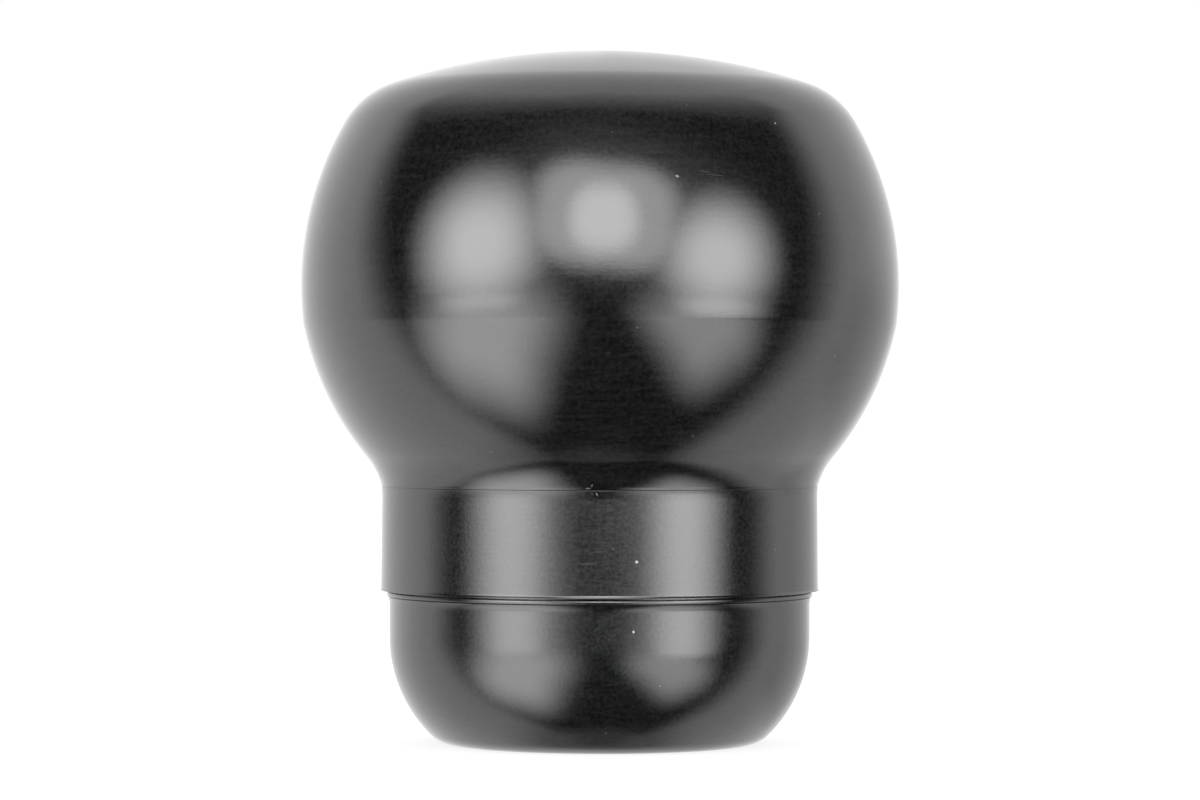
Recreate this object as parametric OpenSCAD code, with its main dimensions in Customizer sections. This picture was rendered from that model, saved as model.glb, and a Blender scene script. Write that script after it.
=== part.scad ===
// Gear shift knob, turned from aluminium in three outer pieces.
// Z points up and the origin is the centre of the base. Lengths are millimetres.

/* [Head] */
// Height from the base to the crown
total_h = 58; // [56:0.5:61]
// Width across the cheeks, the widest part of the head
head_d = 50.1; // [48:0.1:52]
// Height of the crown above the cheeks
crown_rise = 19.6; // [18.5:0.1:20.5]
// Radius of the cheek's arc, seen from the side
cheek_r = 27.5; // [26.5:0.1:29]
// How far the ball under the cheeks would stand outside them
ball_over = 0.31; // [0.1:0.01:0.4]
// Height of that ball's centre above the cheeks
ball_lift = 1.8; // [1:0.05:2.5]
// Radius of the shallow crown
crown_r = 57; // [48:1:80]
// Radius that rounds the crown into the cheeks
shoulder_r = 7; // [5:0.1:8]
// Hollow radius that flares the ball out of the neck
flare_r = 6.6; // [5.5:0.1:8]
// Diameter at which the flare would run parallel to the neck
flare_d = 36.1; // [35.6:0.1:36.4]

/* [Neck ring] */
// Height of the ring
ring_h = 8.75; // [7:0.25:9.5]
// Diameter of the ring at its waist, the narrowest part of the neck
waist_d = 36.5; // [36:0.01:37]
// How far the waist lies under the seam with the head
waist_drop = 0.75; // [0.3:0.05:1.5]
// Hollow radius that opens the waist across the seam into the head
waist_r = 5.5; // [4:0.5:12]
// How much wider the ring is just above its lip
ring_taper = 0.15; // [0:0.05:0.3]
// How far the lip at the bottom stands out past the ring
lip_out = 0.11; // [0.03:0.01:0.2]
// Height over which the lip flares
lip_h = 0.4; // [0.3:0.02:1]
// Radius under the lip
lip_r = 0.23; // [0.08:0.01:0.25]

/* [Base collar] */
// Height of the collar's outer rim above the base
collar_h = 12.7; // [11.5:0.05:14]
// Diameter of the collar's wall
collar_d = 35.24; // [34:0.02:35.8]
// Radius that rounds the wall into the base
round_r = 11.55; // [10:0.05:12.5]
// Height at which that rounding starts
round_z = 9; // [8:0.1:9.5]
// Radius that softens the edge between the rounding and the flat base
edge_r = 2.8; // [1.5:0.1:4]
// How far the bead at the rim stands out past the wall
bead_out = 0.16; // [0.05:0.01:0.3]
// Height of the bead
bead_h = 0.18; // [0.12:0.01:0.4]
// Depth of the groove under the bead
groove_in = 0.1; // [0.05:0.01:0.2]
// Height of that groove
groove_h = 0.17; // [0.1:0.01:0.4]
// Open joint between the collar's rim and the neck ring
seam_gap = 0.1; // [0.05:0.05:0.3]
// Width of the land on top of the collar that carries the ring
land_w = 3.2; // [2:0.1:4]
// Thickness of the collar's floor
floor_t = 3; // [2:0.1:4]

/* [Spigot and lever thread] */
// Diameter of the spigot under the head
spigot_d = 26; // [24:0.5:27]
// Gap between the spigot's end and the collar's floor
spigot_gap = 0.4; // [0.2:0.1:1]
// Chamfer at the spigot's end
spigot_bevel = 0.8; // [0.3:0.1:1]
// Outside diameter of the thread insert
insert_d = 16; // [14:0.5:18]
// Length of the thread insert
insert_l = 20; // [16:1:24]
// Core diameter of the lever thread, an M10 x 1.5
thread_core_d = 8.5; // [8.4:0.1:8.8]
// Diameter at the mouth of the lever thread's chamfer
thread_mouth_d = 10.5; // [10:0.1:11.5]
// Diameter of the pocket above the insert, which clears the lever's tip
tip_d = 11; // [10:0.5:12]
// Depth of that pocket to where its drilled point starts
tip_l = 8; // [4:0.5:12]
// Diameter of the hole in the collar's floor
floor_hole_d = 17.5; // [17:0.1:19]
// Chamfer at that hole
hole_bevel = 0.5; // [0.2:0.1:0.8]
// Radial clearance of pieces that are turned to fit each other
fit = 0.03; // [0.02:0.01:0.05]

/* [Hidden] */
$fn = 96;

// Small overlap that lets two tangent arcs cross cleanly
eps = 0.0005;
// Margin by which a cut runs past a face
over = 1;

ring_z = collar_h + seam_gap;
neck_z = ring_z + ring_h;
spigot_z = floor_t + spigot_gap;
insert_top_z = spigot_z + insert_l;
// A drill's point is 118 degrees wide
drill_point_h = tip_d / 2 / tan(59);

// The cheeks and the ball keep their distance below the crown
cheek_z = total_h - crown_rise;
ball_z = cheek_z + ball_lift;

// Centres of the head's arcs, as [radius, height]
crown_c = [0, total_h - crown_r];
cheek_c = [head_d / 2 - cheek_r, cheek_z];
ball_r = head_d / 2 + ball_over;
ball_c = [0, ball_z];
flare_x = flare_d / 2 + flare_r;
flare_c = [flare_x, ball_z - sqrt(pow(ball_r + flare_r, 2) - pow(flare_x, 2))];
shoulder_c = crossing(crown_c, crown_r - shoulder_r, cheek_c, cheek_r - shoulder_r);

// Centre of the hollow at the waist, which the neck ring and the head share
waist_z = neck_z - waist_drop;
waist_c = [waist_d / 2 + waist_r, waist_z];

// Outer crossing of two circles with centres a and b and radii ra and rb
function crossing(a, ra, b, rb) =
    let (gap = norm(b - a),
         u = (b - a) / gap,
         along = (gap * gap + ra * ra - rb * rb) / (2 * gap),
         off = sqrt(ra * ra - along * along))
    a + along * u + off * [-u[1], u[0]] * (u[1] > 0 ? -1 : 1);

// Point past p, as seen from c, well outside the section
function beyond(c, p, reach) = c + reach * (p - c) / norm(p - c);

module disc(c, r) {
    translate(c) circle(r = r);
}

// Bar from height z0 to z1, from the axis out to radius r
module bar(r, z0, z1) {
    translate([0, z0]) square([r, z1 - z0]);
}

// What stands outside the shoulder's arc, between the crown and the cheek
module shoulder_corner() {
    polygon([
        shoulder_c,
        beyond(crown_c, shoulder_c, crown_r + over),
        beyond(crown_c, shoulder_c, crown_r + over) + [shoulder_r, 0],
        beyond(cheek_c, shoulder_c, cheek_r + over) + [shoulder_r, 0],
        beyond(cheek_c, shoulder_c, cheek_r + over)
    ]);
}

// Outline of the head above the neck: a ball, cut to a barrel and a shallow crown
module head_outline() {
    difference() {
        intersection() {
            disc(crown_c, crown_r);
            disc(cheek_c, cheek_r);
            disc(ball_c, ball_r);
            bar(head_d, neck_z, total_h + over);
        }
        shoulder_corner();
    }
    disc(shoulder_c, shoulder_r + eps);
    // The neck fills the corner under the ball, and the flare is hollowed out of it
    difference() {
        polygon([[0, flare_c[1]], flare_c, ball_c]);
        disc(flare_c, flare_r + eps);
        bar(head_d, 0, neck_z);
    }
    // The hollow at the waist runs on into the head
    difference() {
        bar(waist_c[0], neck_z, waist_z + waist_r / 2);
        disc(waist_c, waist_r);
    }
    // A taller head stands on a straight length of neck
    bar(waist_d / 2, neck_z, max(neck_z + over, flare_c[1] + over));
}

module head() {
    color("dimgray") rotate_extrude() difference() {
        union() {
            head_outline();
            polygon([
                [0, spigot_z],
                [spigot_d / 2 - spigot_bevel, spigot_z],
                [spigot_d / 2, spigot_z + spigot_bevel],
                [spigot_d / 2, neck_z + over],
                [0, neck_z + over]
            ]);
        }
        bar(insert_d / 2 + fit, spigot_z - over, insert_top_z);
        polygon([
            [0, spigot_z],
            [tip_d / 2, spigot_z],
            [tip_d / 2, insert_top_z + tip_l],
            [0, insert_top_z + tip_l + drill_point_h]
        ]);
    }
}

// The ring slides over the spigot and is clamped between the head and the collar
module neck_ring() {
    bore_r = spigot_d / 2 + fit;
    foot_r = (waist_d + ring_taper) / 2;
    edge_r = foot_r + lip_out;
    color("dimgray") rotate_extrude() {
        polygon([
            [bore_r, ring_z],
            [edge_r - lip_r, ring_z],
            [edge_r - lip_r, ring_z + lip_r],
            [edge_r, ring_z + lip_r],
            [foot_r, ring_z + lip_h],
            [waist_d / 2, waist_z],
            [waist_d / 2, neck_z],
            [bore_r, neck_z]
        ]);
        disc([edge_r - lip_r, ring_z + lip_r], lip_r);
        difference() {
            translate([bore_r, waist_z]) square([waist_c[0] - bore_r, waist_drop]);
            disc(waist_c, waist_r + eps);
        }
    }
}

// The collar screws onto the spigot and holds the ring against the head
module base_collar() {
    wall_r = collar_d / 2;
    bore_r = spigot_d / 2 + fit;
    bead_z = collar_h - bead_h;
    round_c = [wall_r - round_r, round_z];
    edge_c = [round_c[0] + sqrt(pow(round_r - edge_r, 2) - pow(round_z - edge_r, 2)), edge_r];
    edge_end = beyond(round_c, edge_c, round_r + over);
    color("dimgray") rotate_extrude() difference() {
        polygon([
            [0, 0],
            [wall_r, 0],
            [wall_r, bead_z - groove_h],
            [wall_r - groove_in, bead_z - groove_h / 2],
            [wall_r, bead_z],
            [wall_r + bead_out, bead_z],
            [wall_r + bead_out, collar_h - bead_h / 3],
            [wall_r + bead_out - bead_h / 3, collar_h],
            [bore_r + land_w, collar_h],
            [bore_r + land_w, ring_z],
            [0, ring_z]
        ]);
        // The lower edge is rounded into the base
        difference() {
            translate([round_c[0], -over]) square([round_r + over, round_z + over]);
            disc(round_c, round_r + eps);
        }
        difference() {
            polygon([edge_c, [edge_c[0], -over], [edge_end[0], -over], edge_end]);
            disc(edge_c, edge_r + 2 * eps);
        }
        bar(bore_r, floor_t, ring_z + over);
        polygon([
            [0, -over],
            [floor_hole_d / 2 + hole_bevel + over, -over],
            [floor_hole_d / 2, hole_bevel],
            [floor_hole_d / 2, floor_t + over],
            [0, floor_t + over]
        ]);
    }
}

// The insert carries the lever thread and ends flush with the spigot
module thread_insert() {
    mouth_h = (thread_mouth_d - thread_core_d) / 2;
    color("silver") rotate_extrude() polygon([
        [thread_mouth_d / 2, spigot_z],
        [insert_d / 2, spigot_z],
        [insert_d / 2, insert_top_z],
        [thread_mouth_d / 2, insert_top_z],
        [thread_core_d / 2, insert_top_z - mouth_h],
        [thread_core_d / 2, spigot_z + mouth_h]
    ]);
}

head();
neck_ring();
base_collar();
thread_insert();
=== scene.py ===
"""Gear shift knob: a black anodised head, ring and collar, turned from aluminium, with a steel thread insert."""

import math

import bmesh
import bpy
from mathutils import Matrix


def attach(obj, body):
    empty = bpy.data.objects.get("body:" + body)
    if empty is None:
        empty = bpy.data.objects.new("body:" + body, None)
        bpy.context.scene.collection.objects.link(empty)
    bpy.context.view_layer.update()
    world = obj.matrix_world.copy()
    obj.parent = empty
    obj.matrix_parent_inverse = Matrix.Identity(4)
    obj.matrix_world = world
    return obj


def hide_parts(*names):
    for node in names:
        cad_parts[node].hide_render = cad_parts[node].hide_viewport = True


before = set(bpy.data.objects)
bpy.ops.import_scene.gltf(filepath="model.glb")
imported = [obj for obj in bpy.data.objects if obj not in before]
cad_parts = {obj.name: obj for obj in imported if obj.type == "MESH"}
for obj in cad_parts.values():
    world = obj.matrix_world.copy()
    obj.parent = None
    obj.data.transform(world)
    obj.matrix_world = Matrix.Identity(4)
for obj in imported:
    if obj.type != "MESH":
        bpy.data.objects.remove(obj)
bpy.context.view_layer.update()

# ---- Head ----
# One turned piece of 6061 aluminium with the spigot that carries the other pieces. Its outline is a row of arcs,
# cut on a lathe: crown, shoulder, cheek, ball and the hollow flare above the neck. Black anodised after turning.

TOTAL_H = 58.0
HEAD_D = 50.1
CROWN_RISE = 19.6
CROWN_R = 57.0
SHOULDER_R = 7.0
CHEEK_R = 27.5
BALL_R = 25.36
BALL_LIFT = 1.8
FLARE_R = 6.6
FLARE_D = 36.1
WAIST_D = 36.5
WAIST_R = 5.5
WAIST_Z = 20.8
BELT_R = 3.0
SEAM_Z = 21.55
SPIGOT_R = 13.0
SPIGOT_Z = 3.4
SPIGOT_BEVEL = 0.8
INSERT_BORE_R = 8.03
INSERT_TOP_Z = 23.4
TIP_R = 5.5
TIP_TOP_Z = 31.4


def arc(centre, radius, start, end, step=0.3):
    """Points of an arc in the [radius, height] section, from one angle to the other, step mm apart."""
    steps = max(2, math.ceil(abs(math.radians(end - start)) * radius / step))
    angles = (math.radians(start + (end - start) * i / steps) for i in range(steps + 1))
    return [(centre[0] + radius * math.cos(a), centre[1] + radius * math.sin(a)) for a in angles]


def angle_to(centre, point):
    """Direction from centre to point, in degrees."""
    return math.degrees(math.atan2(point[1] - centre[1], point[0] - centre[0]))


def crossing(a, ra, b, rb, choose=max):
    """The crossing of two circles that lies furthest from the axis, or nearest to it with choose=min."""
    dx, dz = b[0] - a[0], b[1] - a[1]
    gap = math.hypot(dx, dz)
    along = (gap * gap + ra * ra - rb * rb) / (2 * gap)
    off = math.sqrt(ra * ra - along * along)
    ends = [
        (a[0] + (along * dx + s * off * dz) / gap, a[1] + (along * dz - s * off * dx) / gap) for s in (1, -1)
    ]
    return choose(ends)


def straight(start, end, step=0.6):
    """Points between two corners of a section, both corners included."""
    steps = max(1, math.ceil(math.dist(start, end) / step))
    return [tuple(p + (q - p) * i / steps for p, q in zip(start, end)) for i in range(steps + 1)]


def turned(name, section, segments=256, crease=32):
    """A turned piece: the closed section, in mm, spun round the Z axis. A point on the axis becomes a pole."""
    points = [section[0]]
    for p in section[1:]:
        if math.dist(p, points[-1]) > 1e-4:
            points.append(p)
    if math.dist(points[0], points[-1]) < 1e-4:
        points.pop()
    bm = bmesh.new()
    rings = []
    for radius, z in points:
        if radius < 1e-6:
            rings.append([bm.verts.new((0, 0, z / 1000))] * segments)
            continue
        rings.append([
            bm.verts.new((
                radius / 1000 * math.cos(math.tau * i / segments), radius / 1000 * math.sin(math.tau * i / segments), z / 1000
            )) for i in range(segments)
        ])
    closed = section[0][0] > 1e-6
    for j in range(len(rings) if closed else len(rings) - 1):
        low, high = rings[j], rings[(j + 1) % len(rings)]
        for i in range(segments):
            k = (i + 1) % segments
            corners = []
            for v in (low[i], low[k], high[k], high[i]):
                if v not in corners:
                    corners.append(v)
            if len(corners) > 2:
                bm.faces.new(corners)
    bmesh.ops.recalc_face_normals(bm, faces=bm.faces)
    mesh = bpy.data.meshes.new(name)
    bm.to_mesh(mesh)
    bm.free()
    mesh.shade_smooth()
    mesh.set_sharp_from_angle(angle=math.radians(crease))
    piece = bpy.data.objects.new(name, mesh)
    bpy.context.collection.objects.link(piece)
    return piece


def linear(hex_colour):
    """An sRGB hex colour as linear RGBA."""
    parts = [int(hex_colour[i:i + 2], 16) / 255 for i in (1, 3, 5)]
    return (*(c / 12.92 if c <= 0.04045 else ((c + 0.055) / 1.055) ** 2.4 for c in parts), 1)


def add(tree, kind, links=None, **settings):
    """Adds a node. Settings are its properties or, by socket name or number, its constant inputs."""
    node = tree.nodes.new("ShaderNode" + kind)
    inputs = settings.pop("inputs", {})
    for key, value in settings.items():
        setattr(node, key, value)
    for key, value in inputs.items():
        node.inputs[key].default_value = value
    for key, source in (links or {}).items():
        tree.links.new(source, node.inputs[key])
    return node


CHEEK_Z = TOTAL_H - CROWN_RISE
crown_c = (0, TOTAL_H - CROWN_R)
cheek_c = (HEAD_D / 2 - CHEEK_R, CHEEK_Z)
ball_c = (0, CHEEK_Z + BALL_LIFT)
flare_x = FLARE_D / 2 + FLARE_R
flare_c = (flare_x, ball_c[1] - math.sqrt((BALL_R + FLARE_R) ** 2 - flare_x ** 2))
shoulder_c = crossing(crown_c, CROWN_R - SHOULDER_R, cheek_c, CHEEK_R - SHOULDER_R)
belt_c = crossing(cheek_c, CHEEK_R - BELT_R, ball_c, BALL_R - BELT_R)
waist_c = (WAIST_D / 2 + WAIST_R, WAIST_Z)
SEAM_EDGE_R = 0.03

neck_edge_r = waist_c[0] - math.sqrt(WAIST_R ** 2 - (SEAM_Z - WAIST_Z) ** 2)
# The flare turns into a short steep cone above the seam. Its centre is TURN_R from the cone and inside the flare's arc.
FOOT_TILT = math.radians(7.5)
TURN_R = 0.8
from_flare = (
    neck_edge_r + TURN_R * math.cos(FOOT_TILT) - flare_c[0], SEAM_Z - TURN_R * math.sin(FOOT_TILT) - flare_c[1]
)
along = from_flare[0] * math.sin(FOOT_TILT) + from_flare[1] * math.cos(FOOT_TILT)
foot_length = math.sqrt(along ** 2 - math.hypot(*from_flare) ** 2 + (FLARE_R - TURN_R) ** 2) - along
turn_c = (
    flare_c[0] + from_flare[0] + foot_length * math.sin(FOOT_TILT),
    flare_c[1] + from_flare[1] + foot_length * math.cos(FOOT_TILT),
)
head_section = (
    arc(crown_c, CROWN_R, 90, angle_to(crown_c, shoulder_c), 0.5)
    + arc(shoulder_c, SHOULDER_R, angle_to(crown_c, shoulder_c), angle_to(cheek_c, shoulder_c))
    + arc(cheek_c, CHEEK_R, angle_to(cheek_c, shoulder_c), angle_to(cheek_c, belt_c), 0.4)
    + arc(belt_c, BELT_R, angle_to(cheek_c, belt_c), angle_to(ball_c, belt_c), 0.05)
    + arc(ball_c, BALL_R, angle_to(ball_c, belt_c), angle_to(ball_c, flare_c), 0.4)
    + arc(flare_c, FLARE_R, angle_to(flare_c, ball_c), angle_to(flare_c, turn_c), 0.15)
    + arc(turn_c, TURN_R, angle_to(flare_c, turn_c), 180 - math.degrees(FOOT_TILT), 0.04)
    + arc((neck_edge_r - SEAM_EDGE_R, SEAM_Z + SEAM_EDGE_R), SEAM_EDGE_R, -5, -90, 0.02)
    + straight((neck_edge_r - SEAM_EDGE_R, SEAM_Z), (SPIGOT_R, SEAM_Z))
    + straight((SPIGOT_R, SEAM_Z), (SPIGOT_R, SPIGOT_Z + SPIGOT_BEVEL))
    + [(SPIGOT_R - SPIGOT_BEVEL, SPIGOT_Z), (INSERT_BORE_R, SPIGOT_Z), (INSERT_BORE_R, INSERT_TOP_Z)]
    + [(TIP_R, INSERT_TOP_Z), (TIP_R, TIP_TOP_Z), (0, TIP_TOP_Z + TIP_R / math.tan(math.radians(59)))]
)
head = turned("head_turned", head_section, 320)

# Black anodised aluminium: a clear alumina layer (IOR 1.77) dyed black, over metal that a fine insert turned.
# The dye hides the metal's own colour, so what the eye gets is the layer's soft gloss, broken by the turning lines,
# a fine etched grain, and the dust and scratches of use.


def surface_radius(section, height):
    """Outer radius of a turned piece at a height."""
    radius = 0
    for (r0, z0), (r1, z1) in zip(section, section[1:]):
        if min(z0, z1) <= height <= max(z0, z1) and z0 != z1:
            radius = max(radius, r0 + (r1 - r0) * (height - z0) / (z1 - z0))
    return radius


def turned_anodised(name, section, roughness, line_mm, grain_mm, shares, depth_mm, marks):
    """Anodised aluminium. Turning lines are line_mm apart and grains grain_mm wide, with shares of lines, grain and
    upright streaks. A mark is (azimuth from the front and height of its middle, length, width, tilt, strength)."""
    material = bpy.data.materials.new(name)
    material.use_nodes = True
    tree = material.node_tree
    shader = tree.nodes["Principled BSDF"]
    shader.inputs["IOR"].default_value = 1.77
    place = add(tree, "TexCoord").outputs["Object"]
    axes = add(tree, "SeparateXYZ", {0: place})
    outward = add(tree, "VectorMath", {0: place}, operation="MULTIPLY", inputs={1: (1, 1, 0)}).outputs[0]
    radius = add(tree, "VectorMath", {0: outward}, operation="LENGTH").outputs["Value"]
    # Turning lines change with every step across the piece and hardly at all round it, where a full turn counts
    # as a circle of 3 mm radius. Real ones are 0.05 mm apart, too fine to show, so they are drawn coarser.
    bearing = add(tree, "VectorMath", {0: outward}, operation="NORMALIZE").outputs[0]
    bearing = add(tree, "VectorMath", {0: bearing}, operation="MULTIPLY", inputs={1: (0.003, 0.003, 0)}).outputs[0]
    upright = add(tree, "CombineXYZ", {2: axes.outputs[2]}).outputs[0]
    lines_at = add(tree, "VectorMath", {0: bearing, 1: upright}, operation="ADD").outputs[0]
    lines = add(
        tree, "TexNoise", {"Vector": lines_at, "W": radius}, noise_dimensions="4D",
        inputs={"Scale": 1000 / line_mm, "Detail": 2.0, "Roughness": 0.6}
    ).outputs[0]
    # The etched grain under the dye, and upright streaks six times as long as a grain
    grain = add(tree, "TexNoise", {"Vector": place}, inputs={"Scale": 1000 / grain_mm, "Detail": 3.0, "Roughness": 0.65}).outputs[0]
    drawn = add(tree, "VectorMath", {0: place}, operation="MULTIPLY", inputs={1: (1, 1, 1 / 6)}).outputs[0]
    streaks = add(tree, "TexNoise", {"Vector": drawn}, inputs={"Scale": 1000 / grain_mm, "Detail": 1.0}).outputs[0]
    blend = add(tree, "Math", {0: lines}, operation="MULTIPLY", inputs={1: shares[0]}).outputs[0]
    for pattern, share in ((grain, shares[1]), (streaks, shares[2])):
        blend = add(tree, "Math", {0: pattern, 2: blend}, operation="MULTIPLY_ADD", inputs={1: share}).outputs[0]
    rough = add(tree, "MapRange", {0: blend}, inputs={1: 0.35, 2: 0.65, 3: roughness * 0.8, 4: roughness * 1.2}).outputs[0]
    dye = add(
        tree, "Mix", {"Factor": add(tree, "MapRange", {0: blend}, inputs={1: 0.4, 2: 0.62}).outputs[0]}, data_type="RGBA",
        inputs={6: linear("#101011"), 7: linear("#232325")}
    ).outputs[2]
    mark = None
    for azim, height, length, width, tilt, strength in marks:
        azim = math.radians(azim)
        reach = surface_radius(section, height)
        local = add(
            tree, "Mapping", {0: place}, vector_type="TEXTURE", inputs={
                1: (reach * math.sin(azim) / 1000, -reach * math.cos(azim) / 1000, height / 1000),
                2: (0, math.radians(-tilt), azim), 3: (length / 2000, 0.0003, width / 2000)
            }
        ).outputs[0]
        from_middle = add(tree, "VectorMath", {0: local}, operation="LENGTH").outputs["Value"]
        here = add(tree, "MapRange", {0: from_middle}, inputs={1: 1.0, 2: 0.5, 3: 0.0, 4: strength}).outputs[0]
        mark = here if mark is None else add(tree, "Math", {0: mark, 1: here}, operation="MAXIMUM").outputs[0]
    dusty = add(tree, "Mix", {"Factor": mark, "A": rough}, data_type="FLOAT", inputs={"B": 0.6}).outputs[0]
    tree.links.new(dusty, shader.inputs["Roughness"])
    colour = add(tree, "Mix", {"Factor": mark, 6: dye}, data_type="RGBA", inputs={7: linear("#e4e2dd")}).outputs[2]
    tree.links.new(colour, shader.inputs["Base Color"])
    bump = add(tree, "Bump", {"Height": blend}, inputs={"Strength": 1.0, "Distance": depth_mm / 1000})
    tree.links.new(bump.outputs[0], shader.inputs["Normal"])
    return material


# Dust, hairlines and a smear on the head, each as (azimuth, height, length, width, tilt, strength)
HEAD_MARKS = [
    (39.8, 51.06, 0.2, 0.18, 0, 0.4), (14.8, 46.5, 0.36, 0.22, -25, 0.35), (45.9, 43.8, 0.18, 0.16, 0, 0.15),
    (-47.8, 46.3, 0.18, 0.16, 0, 0.12), (18.8, 52.3, 0.16, 0.14, 0, 0.1), (2.4, 50.0, 0.16, 0.14, 0, 0.08),
    (6.8, 34.5, 0.24, 0.18, 20, 0.12), (1.5, 32.5, 0.16, 0.14, 0, 0.08), (51.9, 32.4, 0.2, 0.18, 0, 0.16),
    (-25.8, 24.6, 0.2, 0.16, 0, 0.1), (20.8, 25.9, 0.2, 0.16, 30, 0.12), (-10.4, 35.2, 0.26, 0.14, 0, 0.08),
    (22.5, 46.65, 1.9, 0.1, -4, 0.05), (20.5, 46.9, 1.4, 0.1, -8, 0.04), (-24.0, 30.6, 1.6, 0.1, 6, 0.03),
    (-2.9, 21.72, 0.5, 0.12, 0, 0.2), (-1.95, 21.95, 0.34, 0.12, 60, 0.2),
]
head_finish = turned_anodised(
    "black_anodised_fine_turned", head_section, 0.12, 0.36, 0.3, (0.32, 0.58, 0.1), 0.006, HEAD_MARKS
)
head.data.materials.append(head_finish)
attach(head, "root")
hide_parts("head")

# ---- Thread insert ----
# A zinc-plated steel bush with an M10 x 1.5 thread for the gear lever, pressed into the spigot from below.
# The thread is cut along its whole length and chamfered at both mouths.

INSERT_R = 8.0
CORE_R = 4.25
MAJOR_R = 5.0
MOUTH_R = 5.25
PITCH = 1.5


def threaded_bush(name, outer_r, low, high, segments=96):
    """A bush whose bore is one continuous 60 degree thread, trimmed by the chamfers at its two ends."""
    # One turn of the thread, as (share of the pitch, radius)
    turn = [(0.0, CORE_R), (0.25, CORE_R), (0.4, CORE_R + 0.36), (0.5625, MAJOR_R), (0.6875, MAJOR_R), (0.85, CORE_R + 0.36)]
    turns = math.ceil((high - low) / PITCH) + 2
    bm = bmesh.new()
    columns = []
    for i in range(segments + 1):
        angle = math.tau * i / segments
        column = []
        for j in range(turns * len(turn)):
            share, radius = turn[j % len(turn)]
            z = low + PITCH * (j // len(turn) - 1 + share + i / segments)
            z = min(max(z, low), high)
            radius = max(radius, MOUTH_R - (z - low), MOUTH_R - (high - z))
            column.append(bm.verts.new((radius * math.cos(angle) / 1000, radius * math.sin(angle) / 1000, z / 1000)))
        column += [
            bm.verts.new((outer_r * math.cos(angle) / 1000, outer_r * math.sin(angle) / 1000, z / 1000)) for z in (high, low)
        ]
        columns.append(column)
    for left, right in zip(columns, columns[1:]):
        for j in range(len(left)):
            k = (j + 1) % len(left)
            bm.faces.new((left[j], right[j], right[k], left[k]))
    bmesh.ops.remove_doubles(bm, verts=bm.verts, dist=2e-6)
    bmesh.ops.dissolve_degenerate(bm, edges=bm.edges, dist=2e-6)
    bmesh.ops.recalc_face_normals(bm, faces=bm.faces)
    mesh = bpy.data.meshes.new(name)
    bm.to_mesh(mesh)
    bm.free()
    mesh.shade_smooth()
    mesh.set_sharp_from_angle(angle=math.radians(32))
    piece = bpy.data.objects.new(name, mesh)
    bpy.context.collection.objects.link(piece)
    return piece


insert = threaded_bush("insert_threaded", INSERT_R, SPIGOT_Z, INSERT_TOP_Z)
zinc = bpy.data.materials.new("zinc_plated_steel")
zinc.use_nodes = True
zinc_shader = zinc.node_tree.nodes["Principled BSDF"]
zinc_shader.inputs["Metallic"].default_value = 1.0
zinc_shader.inputs["Roughness"].default_value = 0.32
zinc_place = add(zinc.node_tree, "TexCoord").outputs["Object"]
zinc_noise = add(zinc.node_tree, "TexNoise", {"Vector": zinc_place}, inputs={"Scale": 900.0, "Detail": 3.0})
zinc_colour = add(
    zinc.node_tree, "Mix", {"Factor": zinc_noise.outputs[0]}, data_type="RGBA",
    inputs={6: linear("#a3a5a8"), 7: linear("#c9cbcd")}
)
zinc.node_tree.links.new(zinc_colour.outputs[2], zinc_shader.inputs["Base Color"])
insert.data.materials.append(zinc)
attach(insert, "root")
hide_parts("thread_insert")

# ---- Neck ring ----
# A turned aluminium ring that slides over the spigot and is clamped between the head and the collar.
# It meets the head at a fine seam and flares to a small lip over the open joint below it.

RING_Z = 12.8
RING_FOOT_R = 18.325
LIP_R = 0.4
LIP_TOP_Z = 13.13
LIP_TILT = 21.5
LIP_Z = 12.885
UNDERCUT_R = 17.9
RING_BORE_R = 13.03
RING_EDGE_R = 0.04

# A small hollow fillet opens the wall into a short cone. Its sharp end is the lip, and an undercut below it leaves
# the joint dark.
lip_c = (RING_FOOT_R + LIP_R, LIP_TOP_Z)
cone_top = arc(lip_c, LIP_R, 180 + LIP_TILT, 180, 0.02)
lip_edge_r = cone_top[0][0] + (cone_top[0][1] - LIP_Z) * math.tan(math.radians(LIP_TILT))
ring_section = (
    straight((RING_BORE_R, RING_Z), (UNDERCUT_R, RING_Z), 1)
    + [(UNDERCUT_R, LIP_Z), (lip_edge_r, LIP_Z)]
    + cone_top
    + straight((RING_FOOT_R, LIP_TOP_Z), (WAIST_D / 2, WAIST_Z), 0.4)
    + [p for p in arc(waist_c, WAIST_R, 180, 160, 0.1) if p[1] < SEAM_Z - RING_EDGE_R]
    + arc((neck_edge_r - RING_EDGE_R, SEAM_Z - RING_EDGE_R), RING_EDGE_R, -4, 90, 0.02)
    + straight((neck_edge_r - RING_EDGE_R, SEAM_Z), (RING_BORE_R, SEAM_Z), 1)
    + straight((RING_BORE_R, SEAM_Z), (RING_BORE_R, RING_Z), 1)
)
ring = turned("ring_turned", ring_section, 320)
RING_MARKS = [
    (9.35, 15.83, 0.28, 0.26, 0, 0.9), (-0.2, 16.64, 1.3, 0.1, 2, 0.05), (-3.2, 15.67, 2.0, 0.1, -1, 0.05),
    (3.4, 16.9, 0.16, 0.16, 0, 0.1), (-0.7, 21.25, 0.32, 0.12, -60, 0.3), (-1.9, 21.3, 0.22, 0.1, -50, 0.1),
    (51.5, 16.6, 0.18, 0.16, 0, 0.14), (-57.5, 16.8, 0.18, 0.16, 0, 0.1), (6.5, 15.6, 1.1, 0.09, 1, 0.03),
]
ring.data.materials.append(turned_anodised(
    "black_anodised_ring", ring_section, 0.165, 0.3, 0.27, (0.25, 0.65, 0.1), 0.009, RING_MARKS
))
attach(ring, "root")
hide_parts("neck_ring")

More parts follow.
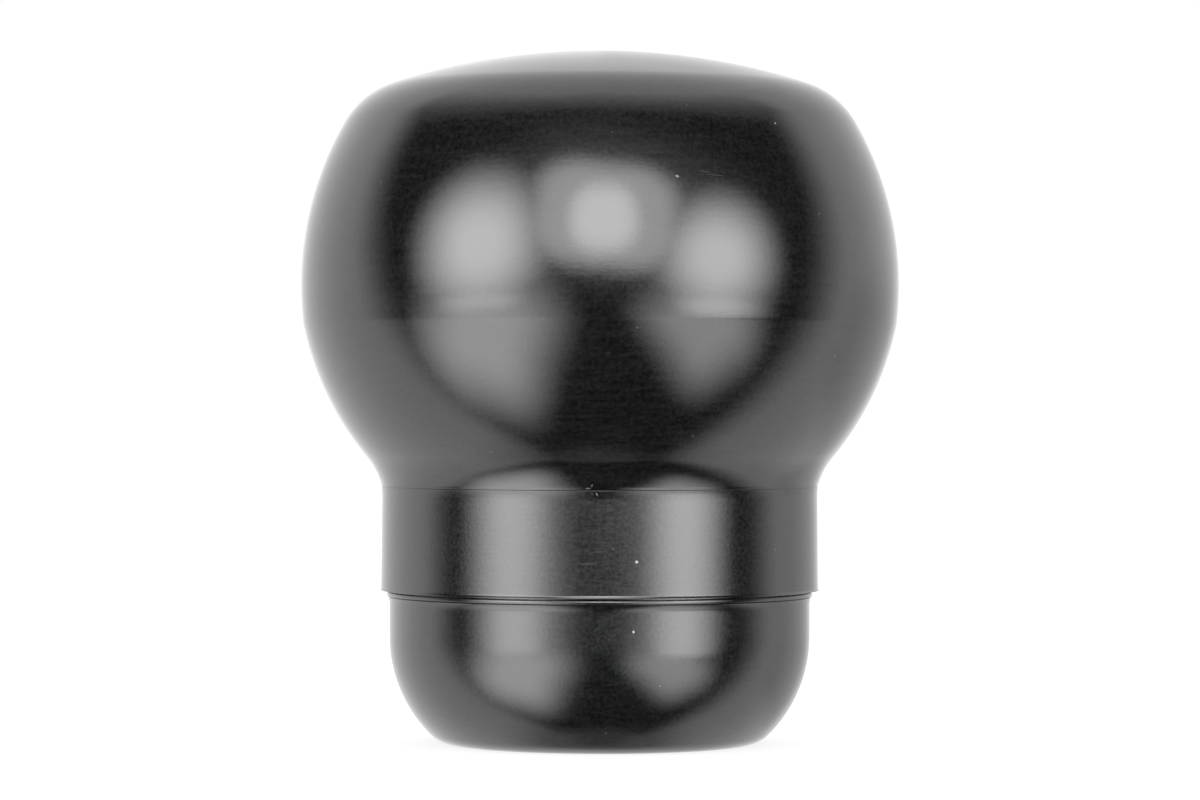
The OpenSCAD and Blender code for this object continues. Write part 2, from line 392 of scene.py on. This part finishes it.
# ---- Base collar ----
# A turned aluminium cup that screws onto the spigot and clamps the ring. Its wall rounds into a flat base
# with a hole for the lever. A fine bead and a groove run round its rim, under the open joint.

RIM_Z = 12.7
WALL_R = 17.62
BASE_ROUND_R = 11.55
BASE_ROUND_Z = 9.0
BASE_EDGE_R = 2.8
BEAD_OUT = 0.22
BEAD_R = 0.45
BEAD_Z = 12.53
GROOVE_IN = 0.04
GROOVE_H = 0.1
SPREAD_R = 1.6
SPREAD_H = 0.6
LAND_R = 16.23
FLOOR_T = 3.0
HOLE_R = 8.75
HOLE_BEVEL = 0.5

# The wall spreads a little towards the rim, up to the groove. The bead above it is part of a rounded edge.
bead_c = (WALL_R + BEAD_OUT - BEAD_R, BEAD_Z)
bead_top = math.degrees(math.asin((RIM_Z - BEAD_Z) / BEAD_R))
bead_foot = (bead_c[0] + BEAD_R * math.cos(math.radians(17)), BEAD_Z - BEAD_R * math.sin(math.radians(17)))
spread_c = (WALL_R + SPREAD_R, bead_foot[1] - GROOVE_H - SPREAD_H)
spread_turn = math.degrees(math.asin(SPREAD_H / SPREAD_R))
rim_r = WALL_R + SPREAD_R * (1 - math.cos(math.radians(spread_turn)))
round_c = (WALL_R - BASE_ROUND_R, BASE_ROUND_Z)
edge_c = (
    round_c[0] + math.sqrt((BASE_ROUND_R - BASE_EDGE_R) ** 2 - (BASE_ROUND_Z - BASE_EDGE_R) ** 2), BASE_EDGE_R
)
collar_section = (
    straight((HOLE_R + HOLE_BEVEL, 0), (edge_c[0], 0), 1)
    + arc(edge_c, BASE_EDGE_R, -90, angle_to(round_c, edge_c), 0.15)
    + arc(round_c, BASE_ROUND_R, angle_to(round_c, edge_c), 0, 0.3)
    + straight((WALL_R, BASE_ROUND_Z), (WALL_R, spread_c[1]), 0.4)
    + arc(spread_c, SPREAD_R, 180, 180 - spread_turn, 0.05)
    + [(rim_r - GROOVE_IN, bead_foot[1] - GROOVE_H / 2)]
    + arc(bead_c, BEAD_R, -17, bead_top, 0.02)
    + straight((bead_c[0], RIM_Z), (LAND_R, RIM_Z), 0.5)
    + straight((LAND_R, RING_Z), (RING_BORE_R, RING_Z), 1)
    + straight((RING_BORE_R, RING_Z), (RING_BORE_R, FLOOR_T), 1)
    + straight((RING_BORE_R, FLOOR_T), (HOLE_R, FLOOR_T), 1)
    + [(HOLE_R, HOLE_BEVEL)]
)
collar = turned("collar_turned", collar_section, 320)
COLLAR_MARKS = [
    (8.9, 10.19, 0.24, 0.24, 0, 0.8), (16.4, 5.8, 0.24, 0.18, 30, 0.2), (-52.0, 9.2, 0.18, 0.16, 0, 0.08),
    (2.5, 9.6, 0.18, 0.16, 0, 0.08), (1.9, 1.9, 0.22, 0.18, 0, 0.1), (-14.0, 7.4, 1.2, 0.09, 4, 0.03),
]
collar.data.materials.append(turned_anodised(
    "black_anodised_collar", collar_section, 0.165, 0.3, 0.27, (0.25, 0.65, 0.1), 0.009, COLLAR_MARKS
))
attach(collar, "root")
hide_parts("base_collar")

# ---- Stage ----
# A white floor and backdrop, soft lamps at a plain level, and the photographer's lights as the gloss shows them:
# two softboxes, a front lamp above the camera, and what the table in front throws back.

# Each light as seen from the piece: azimuth from the camera and elevation of its centre, half width, half height and
# rotation (all in degrees), roundness of its corners, softness of its edge, and strength beside the white backdrop
MIRRORED_LIGHTS = [
    (-46.7, 12.5, 20.5, 18.2, 6.6, 0.95, 0.8, 6.2),
    (45.3, 8.4, 19.0, 15.5, 5.7, 1.0, 0.77, 5.92),
    (1.4, 22.3, 16.7, 14.6, 1.0, 0.85, 0.68, 6.46),
    (1.8, 23.4, 30.7, 18.5, -5.2, 0.68, 0.45, 3.55),
    (-47.0, -23.0, 23.8, 26.5, -28.4, 0.73, 0.98, 3.54),
    (40.7, -20.3, 16.8, 23.0, 47.4, 0.69, 0.98, 2.66),
    (-46.1, -5.8, 17.9, 3.3, 1.0, 0.86, 0.8, 4.74),
    (44.5, -7.2, 16.3, 4.3, 0.6, 0.93, 0.85, 5.12),
    (10.5, 27.5, 40.5, 20.1, -12.4, 0.97, 0.97, 0.58),
]
DARK_FRONT = 0.006

world = bpy.data.worlds.new("white_studio")
bpy.context.scene.world = world
world.use_nodes = True
sky = world.node_tree
sky.nodes.clear()


def value(kind, links, *constants, **settings):
    """Adds a math node. The constants fill the sockets that the links leave free; returns its first output."""
    free = [i for i in range(3) if i not in links]
    return add(sky, kind, links, inputs=dict(zip(free, constants)), **settings).outputs[0]


direction = add(sky, "TexCoord").outputs["Generated"]
part = add(sky, "SeparateXYZ", {0: direction}).outputs
front = value("Math", {0: part[1]}, -1.0, operation="MULTIPLY")
azimuth = value("Math", {0: value("Math", {0: part[0], 1: front}, operation="ARCTAN2")}, math.degrees(1), operation="MULTIPLY")
elevation = value("Math", {0: value("Math", {0: part[2]}, operation="ARCSINE")}, math.degrees(1), operation="MULTIPLY")
bearing = add(sky, "CombineXYZ", {0: azimuth, 1: elevation}).outputs[0]

# The white backdrop fills all that is behind the piece. Its edges lean, and it is brighter on the left.
to_side = value("Math", {0: azimuth}, operation="ABSOLUTE")
on_right = value("Math", {0: azimuth}, 0.0, operation="GREATER_THAN")
slope = add(sky, "Mix", {"Factor": on_right}, data_type="FLOAT", inputs={"A": -0.464, "B": -0.299}).outputs[0]
lean = value("Math", {0: elevation, 1: slope, 2: to_side}, operation="MULTIPLY_ADD")
level = add(sky, "Mix", {"Factor": on_right}, data_type="FLOAT", inputs={"A": 1.19, "B": 1.073}).outputs[0]
glow = add(
    sky, "MapRange", {0: lean, 4: level}, interpolation_type="SMOOTHSTEP", inputs={1: 80.3, 2: 108.9, 3: DARK_FRONT}
).outputs[0]

# The ceiling is grey, brighter overhead, and its edge dips behind the piece
bow = value("Math", {0: azimuth, 1: azimuth}, operation="MULTIPLY")
above = value("Math", {0: bow, 2: value("Math", {0: elevation}, 62.0, operation="SUBTRACT")}, 0.00207, operation="MULTIPLY_ADD")
ceiling = add(sky, "MapRange", {0: above}, inputs={1: 0.0, 2: 30.0, 3: 0.26, 4: 1.17}).outputs[0]
edge = add(sky, "MapRange", {0: above}, interpolation_type="SMOOTHSTEP", inputs={1: -1.5, 2: 1.5, 3: 0.0, 4: 1.0}).outputs[0]
glow = value("Math", {0: glow, 1: value("Math", {0: ceiling, 1: edge}, operation="MULTIPLY")}, operation="MAXIMUM")


def patch(azim, elev, half_w, half_h, rotation, corner, soft, strength):
    """A soft rounded rectangle in the sky, from 0 outside it to its strength inside."""
    local = add(
        sky, "Mapping", {0: bearing}, vector_type="TEXTURE",
        inputs={1: (azim, elev, 0), 2: (0, 0, math.radians(rotation)), 3: (half_w, half_h, 1)}
    ).outputs[0]
    size = add(sky, "VectorMath", {0: local}, operation="ABSOLUTE").outputs[0]
    past = add(sky, "VectorMath", {0: size}, operation="SUBTRACT", inputs={1: (1 - corner, 1 - corner, 0)}).outputs[0]
    past = add(sky, "VectorMath", {0: past}, operation="MAXIMUM", inputs={1: (0, 0, 0)}).outputs[0]
    reach = add(sky, "VectorMath", {0: past}, operation="LENGTH").outputs["Value"]
    return add(
        sky, "MapRange", {0: reach}, interpolation_type="SMOOTHSTEP",
        inputs={1: corner * (1 + soft), 2: corner * (1 - soft), 3: 0.0, 4: strength}
    ).outputs[0]


for light in MIRRORED_LIGHTS:
    glow = value("Math", {0: glow, 1: patch(*light)}, operation="MAXIMUM")
# Something grey stands in front of the backdrop, low on the right
shade = value("Math", {1: patch(134.5, -12.3, 23.7, 14.2, 0.0, 0.6, 0.6, 0.2)}, 1.0, operation="SUBTRACT")
glow = value("Math", {0: glow, 1: shade}, operation="MULTIPLY")
under = add(
    sky, "MapRange", {0: elevation}, interpolation_type="SMOOTHSTEP", inputs={1: -51.6, 2: -89.5, 3: 0.0, 4: 1.0}
).outputs[0]
glow = add(sky, "Mix", {"Factor": under, "A": glow}, data_type="FLOAT", inputs={"B": 0.0}).outputs[0]
close_by = add(
    sky, "MapRange", {0: elevation}, interpolation_type="SMOOTHSTEP", inputs={1: -70.9, 2: -78.9, 3: 0.0, 4: 0.25}
).outputs[0]
glow = value("Math", {0: glow, 1: close_by}, operation="ADD")

ray = add(sky, "LightPath").outputs
mirror = add(sky, "Math", {0: ray["Is Glossy Ray"], 1: ray["Is Transmission Ray"]}, operation="MAXIMUM")
plain = add(sky, "Mix", {"Factor": mirror.outputs[0], "B": glow}, data_type="FLOAT", inputs={"A": 0.6})
seen = add(sky, "Mix", {"Factor": ray["Is Camera Ray"], "A": plain.outputs[0]}, data_type="FLOAT", inputs={"B": 1.0})
background = add(sky, "Background", {"Strength": seen.outputs[0]}, inputs={"Color": (1, 1, 1, 1)})
sky.links.new(background.outputs[0], add(sky, "OutputWorld").inputs[0])
world.cycles.sampling_method = "NONE"

# The floor is a white acrylic sheet. It is white to the camera and takes the piece's shadow.
floor_mesh = bpy.data.meshes.new("floor")
floor_mesh.from_pydata([(-4, -4, 0), (4, -4, 0), (4, 4, 0), (-4, 4, 0)], [], [(0, 1, 2, 3)])
floor = bpy.data.objects.new("floor", floor_mesh)
bpy.context.collection.objects.link(floor)
floor.visible_glossy = False
acrylic = bpy.data.materials.new("white_acrylic_sheet")
acrylic.use_nodes = True
sheet = acrylic.node_tree
sheet.nodes.clear()
matt = add(sheet, "BsdfDiffuse", inputs={"Color": linear("#f4f4f4")})
lit = add(sheet, "Emission", inputs={"Strength": 1.2})
sheet_ray = add(sheet, "LightPath").outputs
mostly_lit = add(sheet, "Math", {0: sheet_ray["Is Camera Ray"]}, operation="MULTIPLY", inputs={1: 0.7})
white = add(sheet, "MixShader", {0: mostly_lit.outputs[0], 1: matt.outputs[0], 2: lit.outputs[0]})
clear = add(sheet, "BsdfTransparent")
facing = add(sheet, "NewGeometry").outputs["Backfacing"]
one_sided = add(sheet, "MixShader", {0: facing, 1: white.outputs[0], 2: clear.outputs[0]})
sheet.links.new(one_sided.outputs[0], add(sheet, "OutputMaterial").inputs[0])
floor_mesh.materials.append(acrylic)

for name, azim, elev, size, watts in (
    ("softbox_left", -50, 30, 0.7, 2.6), ("softbox_right", 50, 30, 0.7, 2.6), ("ceiling_panel", 180, 75, 0.9, 2.6)
):
    lamp = bpy.data.lights.new(name, "AREA")
    lamp.shape = "SQUARE"
    lamp.size = size
    lamp.energy = watts
    lamp_object = bpy.data.objects.new(name, lamp)
    azim, elev = math.radians(azim), math.radians(elev)
    lamp_object.location = (0.9 * math.sin(azim) * math.cos(elev), -0.9 * math.cos(azim) * math.cos(elev), 0.9 * math.sin(elev))
    lamp_object.rotation_euler = (math.pi / 2 - elev, 0, azim)
    lamp_object.visible_glossy = False
    bpy.context.collection.objects.link(lamp_object)

# A long lens, level and a little above half the piece's height
camera = bpy.data.cameras.new("camera")
camera.sensor_width = 36
camera.lens = 138
camera.clip_start = 0.01
camera_object = bpy.data.objects.new("camera", camera)
camera_object.location = (0.00001, -0.3865, 0.0287)
camera_object.rotation_euler = (math.radians(90.016), math.radians(-0.08), 0)
bpy.context.collection.objects.link(camera_object)
bpy.context.scene.camera = camera_object
bpy.context.scene.view_settings.view_transform = "Standard"
